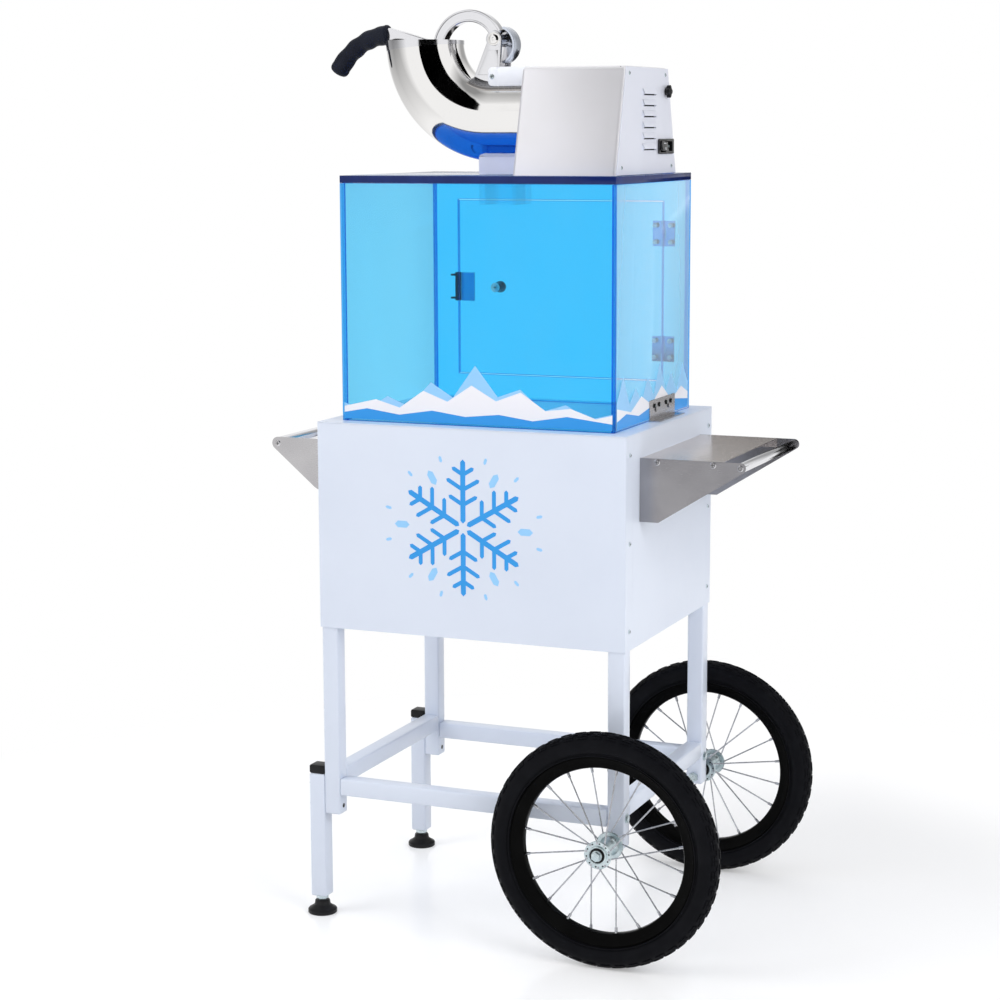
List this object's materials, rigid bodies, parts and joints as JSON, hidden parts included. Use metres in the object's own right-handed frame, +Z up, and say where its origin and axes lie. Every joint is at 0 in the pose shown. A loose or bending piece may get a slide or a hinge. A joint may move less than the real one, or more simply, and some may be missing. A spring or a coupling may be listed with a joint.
{
  "type": "ice crusher cart",
  "caption": "Electric ice crusher: polished elbow hopper with a pushing lever and a motor housing on a clear blue ice case, over a white cabinet cart with spoked wheels.",
  "frame": {"origin": "on the floor, in the middle of the cart's overall length and depth", "axes": "+Z up, -Y towards the front panel's viewer, +X towards the wheels and the shelf, -X towards the push handle"},
  "size_m": [0.8798, 0.649, 1.5971],
  "materials": {
    "white_paint": "satin powder coat",
    "stainless": "brushed",
    "polished_steel": "mirror polished stainless",
    "zinc": "bright zinc plate",
    "blue_acrylic": "clear sky blue acrylic",
    "black_plastic": "matt",
    "black_gloss": "gloss",
    "grip_rubber": "matt, ribbed for the fingers",
    "tyre_rubber": "treaded rubber",
    "white_plastic": "satin",
    "motor_casting": "as cast"
  },
  "bodies": {
    "cart": {"leg_front_left": "white_paint", "leg_front_right": "white_paint", "leg_back_left": "white_paint", "leg_back_right": "white_paint", "rail_front": "white_paint", "rail_back": "white_paint", "rail_left": "white_paint", "rail_right": "white_paint", "extension_front": "white_paint", "extension_back": "white_paint", "cabinet_front": "white_paint", "cabinet_back": "white_paint", "cabinet_side_left": "white_paint", "cabinet_side_right": "white_paint", "cabinet_top": "white_paint", "cabinet_bottom": "white_paint", "handle_bracket_front": "stainless", "handle_bracket_back": "stainless", "handle_tube": "stainless", "shelf_bracket_front": "stainless", "shelf_bracket_back": "stainless", "shelf_sheet": "stainless", "shelf_bar": "stainless", "case_bracket": "stainless", "door_catch": "stainless", "hinge_upper_fixed": "stainless", "hinge_lower_fixed": "stainless", "hopper": "polished_steel", "motor_housing": "polished_steel", "pivot_post": "polished_steel", "axle_front": "zinc", "axle_back": "zinc", "case_front": "blue_acrylic", "case_back": "blue_acrylic", "case_left": "blue_acrylic", "case_right": "blue_acrylic", "case_lid": "blue_acrylic", "ice_chute": "blue_acrylic", "extension_cap_front": "black_plastic", "extension_cap_back": "black_plastic", "power_inlet": "black_gloss", "neck": "white_plastic", "switch_box": "white_plastic", "motor": "motor_casting"},
    "front_wheel": {"wheel_front": "zinc", "tyre_front": "tyre_rubber"},
    "back_wheel": {"wheel_back": "zinc", "tyre_back": "tyre_rubber"},
    "front_foot": {"foot_front": "black_plastic"},
    "back_foot": {"foot_back": "black_plastic"},
    "rear_door": {"door": "blue_acrylic", "door_knob": "blue_acrylic", "door_strike": "stainless", "hinge_upper_leaf": "stainless", "hinge_lower_leaf": "stainless"},
    "crushing_lever": {"lever": "polished_steel", "lever_grip": "grip_rubber"},
    "cutter_rotor": {"cutter": "stainless"},
    "rocker": {"rocker_switch": "black_gloss"},
    "clamp": {"clamp_knob": "black_plastic"}
  },
  "joints": [
    {"name": "front_wheel_spin", "type": "hinge", "parent": "cart", "child": "front_wheel", "pos_m": [0.23695, -0.2832, 0.203], "axis": [0, 1, 0], "continuous": true},
    {"name": "back_wheel_spin", "type": "hinge", "parent": "cart", "child": "back_wheel", "pos_m": [0.23695, 0.2832, 0.203], "axis": [0, 1, 0], "continuous": true},
    {"name": "front_foot_turn", "type": "hinge", "parent": "cart", "child": "front_foot", "pos_m": [-0.32775, -0.2132, 0], "axis": [0, 0, 1], "continuous": true},
    {"name": "back_foot_turn", "type": "hinge", "parent": "cart", "child": "back_foot", "pos_m": [-0.32775, 0.2132, 0], "axis": [0, 0, 1], "continuous": true},
    {"name": "door_hinge", "type": "hinge", "parent": "cart", "child": "rear_door", "pos_m": [0.1705, 0.2003, 1.101], "axis": [0, 0, -1], "range_deg": [0, 120]},
    {"name": "lever_pivot", "type": "hinge", "parent": "cart", "child": "crushing_lever", "pos_m": [-0.06625, 0, 1.5455], "axis": [0, 1, 0], "range_deg": [0, 100]},
    {"name": "cutter_spin", "type": "hinge", "parent": "cart", "child": "cutter_rotor", "pos_m": [-0.08625, 0, 1.4035], "axis": [1, 0, 0], "continuous": true},
    {"name": "rocker_tilt", "type": "hinge", "parent": "cart", "child": "rocker", "pos_m": [0.20705, 0.07495, 1.361], "axis": [0, 1, 0], "range_deg": [0, 14]},
    {"name": "clamp_turn", "type": "hinge", "parent": "cart", "child": "clamp", "pos_m": [0.20705, 0.0945, 1.455], "axis": [1, 0, 0], "continuous": true}
  ]
}
